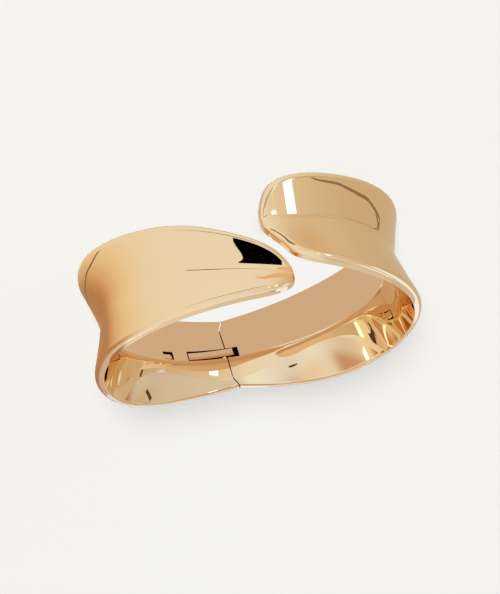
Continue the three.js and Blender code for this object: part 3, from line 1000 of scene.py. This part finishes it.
def cord(name, thickness, colour, places):
    """A round glowing cord through places, in millimetres, each with a share of its thickness, that only
    the metal sees: a painted line in its reflections.
    """
    data = bpy.data.curves.new(name, "CURVE")
    data.dimensions = "3D"
    data.bevel_depth = thickness / 2.0 * MM
    data.resolution_u = CORD_SMOOTHNESS
    strand = data.splines.new("BEZIER")
    strand.bezier_points.add(len(places) - 1)
    for point, (x, y, z, share) in zip(strand.bezier_points, places):
        point.co = (x * MM, y * MM, z * MM)
        point.radius = share
        point.handle_left_type = point.handle_right_type = "AUTO"
    data.materials.append(glow(name, colour))
    only_reflected(new_object(name, data))


def painted_lit_paper(name, centre, half, fades):
    """Painted light: a glowing patch in the lit paper's colour, seen only by the camera, that covers the
    bangle's shadow on the floor inside the band and fades out round an oval.
    """
    material, tree, place = new_material(name)
    away = add(tree, "ShaderNodeVectorMath", [(0, place)], operation="LENGTH")
    share = add(tree, "ShaderNodeMapRange", [
        ("Value", away), ("From Min", fades[0]), ("From Max", fades[1]),
    ], interpolation_type="SMOOTHSTEP")
    light = add(tree, "ShaderNodeEmission", [("Color", linear(PAPER_LIT))])
    clear = add(tree, "ShaderNodeBsdfTransparent")
    mixed = add(tree, "ShaderNodeMixShader", [(0, share), (1, light), (2, clear)])
    add(tree, "ShaderNodeOutputMaterial", [("Surface", mixed)])
    piece = sheet(name, (1.0, 1.0), material)
    piece.scale = (half[0] * MM, half[1] * MM, 1.0)
    piece.location = Vector(centre) * MM
    only_seen(piece)


def surround(name, low, high, from_height, to_height):
    """A glowing colour that changes with the azimuth, by rows of degrees and sRGB hex colours, and from
    the low rows to the high ones between two heights in metres."""
    material, tree, place = new_material(name)
    parts = add(tree, "ShaderNodeSeparateXYZ", [("Vector", place)])
    front = add(tree, "ShaderNodeMath", [(0, parts.outputs["Y"]), (1, -1.0)], operation="MULTIPLY")
    turn = add(tree, "ShaderNodeMath", [(0, parts.outputs["X"]), (1, front)], operation="ARCTAN2")
    share = add(tree, "ShaderNodeMapRange", [
        ("Value", turn), ("From Min", -math.pi), ("From Max", math.pi),
    ])
    lift = add(tree, "ShaderNodeMapRange", [
        ("Value", parts.outputs["Z"]), ("From Min", from_height), ("From Max", to_height),
    ], interpolation_type="SMOOTHSTEP")
    ramps = []
    for rows in (low, high):
        ramp = add(tree, "ShaderNodeValToRGB", [("Fac", share)])
        ramp.color_ramp.interpolation = "CARDINAL"
        stops = ramp.color_ramp.elements
        for degrees, code in rows[1:-1]:
            stops.new(degrees / 360.0 + 0.5).color = linear(code)
        stops[0].color = linear(rows[0][1])
        stops[-1].color = linear(rows[-1][1])
        ramps.append(ramp)
    colour = add(tree, "ShaderNodeMix", [
        ("Factor", lift), ("A", ramps[0]), ("B", ramps[1]),
    ], data_type="RGBA")
    light = add(tree, "ShaderNodeEmission", [("Color", colour)])
    add(tree, "ShaderNodeOutputMaterial", [("Surface", light)])
    return material


def tent():
    """A glowing tent and its floor that only the metal sees, as painted reflections: white in front for the
    open room, tan on the paddle's side and brown behind the leaf, which paint the floor's shade near the
    bangle."""
    change = [share * TENT_RADIUS for share in TENT_CHANGE]
    material = surround("surround", AROUND_LOW, AROUND_HIGH, *change)
    only_reflected(ball("tent", TENT_RADIUS, material))
    only_reflected(sheet("tent_floor", (TENT_RADIUS, TENT_RADIUS), material, TENT_FLOOR_LEVEL * MM))


def screen(name, centre, half, bottom, top, change):
    """An oval glowing screen, open above and below, in millimetres, that only the metal sees: a painted
    reflection, whose tan and brown paint the shade of the floor that the inside of the band faces.
    """
    count = OVAL_CORNERS["screen"]
    corners, faces = [], []
    for i, (x, y) in enumerate(oval(half, count)):
        corners += [(x, y, bottom * MM), (x, y, top * MM)]
        following = (i + 1) % count
        faces.append((2 * i, 2 * following, 2 * following + 1, 2 * i + 1))
    mesh = bpy.data.meshes.new(name)
    mesh.from_pydata(corners, [], faces)
    mesh.materials.append(surround(name, SCREEN_LOW, SCREEN_HIGH, *[height * MM for height in change]))
    piece = new_object(name, mesh)
    piece.location = (centre[0] * MM, centre[1] * MM, 0.0)
    only_reflected(piece)


def sun(name, azimuth, elevation, power):
    """A sun lamp that leaves no highlight of its own in the metal."""
    data = bpy.data.lights.new(name, "SUN")
    data.energy = power
    made = new_object(name, data)
    back = direction(azimuth, elevation)
    made.location = back
    made.rotation_euler = back.to_track_quat("Z", "Y").to_euler()
    made.visible_glossy = False
    return data


def reflections():
    """Everything that only the metal sees: the painted reflections, highlights and shade in it."""
    tent()
    # The warm oval: painted shade of the floor under the hollow, as the metal mirrors it.
    oval_card("inside", **INSIDE_PAINTED_SHADE)
    screen("screen", **SCREEN)
    black_flag("flag", FLAG_SEEN_FROM, FLAG, FLAG_DISTANCE)
    for row in CORDS:
        cord(*row)
    for number, places in enumerate(SHORT_CORDS):
        cord(f"short_cord_{number}", SHORT_CORD["thickness"], SHORT_CORD["colour"], places)
    # The warm patch before the paddle: painted shade of the floor, as the metal mirrors it.
    foot = PADDLE_PAINTED_SHADE
    card("paddle_painted_shade", foot["centre"], Vector((0.0, 0.0, 1.0)), foot["size"], foot["colour"], (1.0, 1.0))
    for row in CARDS:
        standing_card(*row)


def stand_camera(given):
    """The camera, on its azimuth and elevation round the part, turned about its own view."""
    aim = (CAD_BOX[0] + CAD_BOX[1]) / 2.0 + Vector(AIM) * MM
    data = bpy.data.cameras.new("camera")
    data.lens = given.lens
    data.clip_start, data.clip_end = CLIP
    camera = new_object("camera", data)
    back = direction(math.degrees(given.azimuth), math.degrees(given.elevation))
    level = back.to_track_quat("Z", "Y").to_matrix()
    turned = level @ Matrix.Rotation(given.roll, 3, "Z")
    camera.matrix_world = Matrix.Translation(aim + back * given.distance) @ turned.to_4x4()
    bpy.context.scene.camera = camera


class BANGLE_OT_stage(bpy.types.Operator):
    """Make the floor, the lights and the camera"""

    bl_idname = "bangle.stage"
    bl_label = "Floor, lights and camera"

    def execute(self, context):
        given = context.scene.bangle_studio
        context.scene.view_settings.view_transform = "Standard"
        context.scene.cycles.glossy_bounces = GLOSSY_BOUNCES
        sheet("floor", (FLOOR_REACH, FLOOR_REACH), floor_paper())
        room_world(given.room)
        only_seen(ball("backdrop", BACKDROP_RADIUS, glow("sweep", linear(PAPER_LIT)[:3])))
        painted_lit_paper("painted_lit_paper", **PAINTED_LIT_PAPER)
        fill = sun("fill", *FILL_FROM, given.fill)
        fill.use_shadow = False
        key = sun("key", *KEY_FROM, given.key)
        key.angle = math.radians(KEY_SPREAD)
        reflections()
        stand_camera(given)
        return {"FINISHED"}


class BANGLE_PT_panel(bpy.types.Panel):
    """The bangle's sizes, colours and operators"""

    bl_idname = "BANGLE_PT_panel"
    bl_label = "Wide bangle"
    bl_space_type = "VIEW_3D"
    bl_region_type = "UI"
    bl_category = "Bangle"

    def draw(self, context):
        layout = self.layout.column()
        for group in (context.scene.bangle_sizes, context.scene.bangle_finish, context.scene.bangle_studio):
            for name in group.bl_rna.properties.keys():
                if name not in ("rna_type", "name"):
                    layout.prop(group, name)
        for operator in OPERATORS:
            layout.operator(operator.bl_idname)


OPERATORS = (BANGLE_OT_halves, BANGLE_OT_hinge, BANGLE_OT_stage)
GROUPS = {"bangle_sizes": BangleSizes, "bangle_finish": BangleFinish, "bangle_studio": BangleStudio}


def register():
    for kind in (*GROUPS.values(), *OPERATORS, BANGLE_PT_panel):
        bpy.utils.register_class(kind)
    for name, group in GROUPS.items():
        setattr(bpy.types.Scene, name, PointerProperty(type=group))


def unregister():
    for name in GROUPS:
        delattr(bpy.types.Scene, name)
    for kind in (BANGLE_PT_panel, *reversed(OPERATORS), *reversed(GROUPS.values())):
        bpy.utils.unregister_class(kind)


def main():
    register()
    bpy.ops.bangle.stage()
    bpy.ops.bangle.halves()
    bpy.ops.bangle.hinge()


if __name__ == "__main__":
    main()
